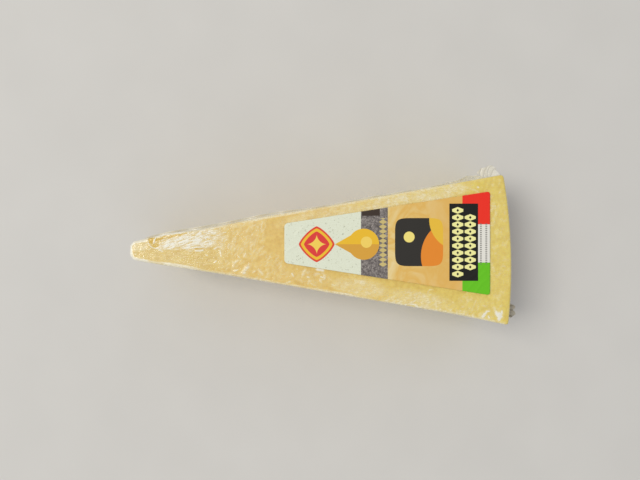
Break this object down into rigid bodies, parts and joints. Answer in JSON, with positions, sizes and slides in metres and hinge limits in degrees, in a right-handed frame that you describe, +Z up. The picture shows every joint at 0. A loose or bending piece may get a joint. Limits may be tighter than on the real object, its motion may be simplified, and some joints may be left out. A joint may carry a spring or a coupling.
{
  "type": "hard cheese wedge",
  "caption": "Long slim wedge of hard cheese with a blunt nose and a curved rim, vacuum-packed in clear film with a crumpled seam, with a tapered paper label on its flat top.",
  "frame": {"origin": "on the surface that the pack lies on, below the middle of its whole box", "axes": "+X from the blunt nose to the curved rim, +Z up out of the labelled flat, +Y towards the long side with the seam"},
  "size_m": [0.1676, 0.0688, 0.0406],
  "materials": {
    "wrapped_cheese": "pale straw-yellow cheese under clear glossy vacuum film",
    "label": "printed coated paper with fields of colour"
  },
  "bodies": {
    "root": {"wrapped_wedge": "wrapped_cheese", "label": "label"}
  },
  "joints": []
}
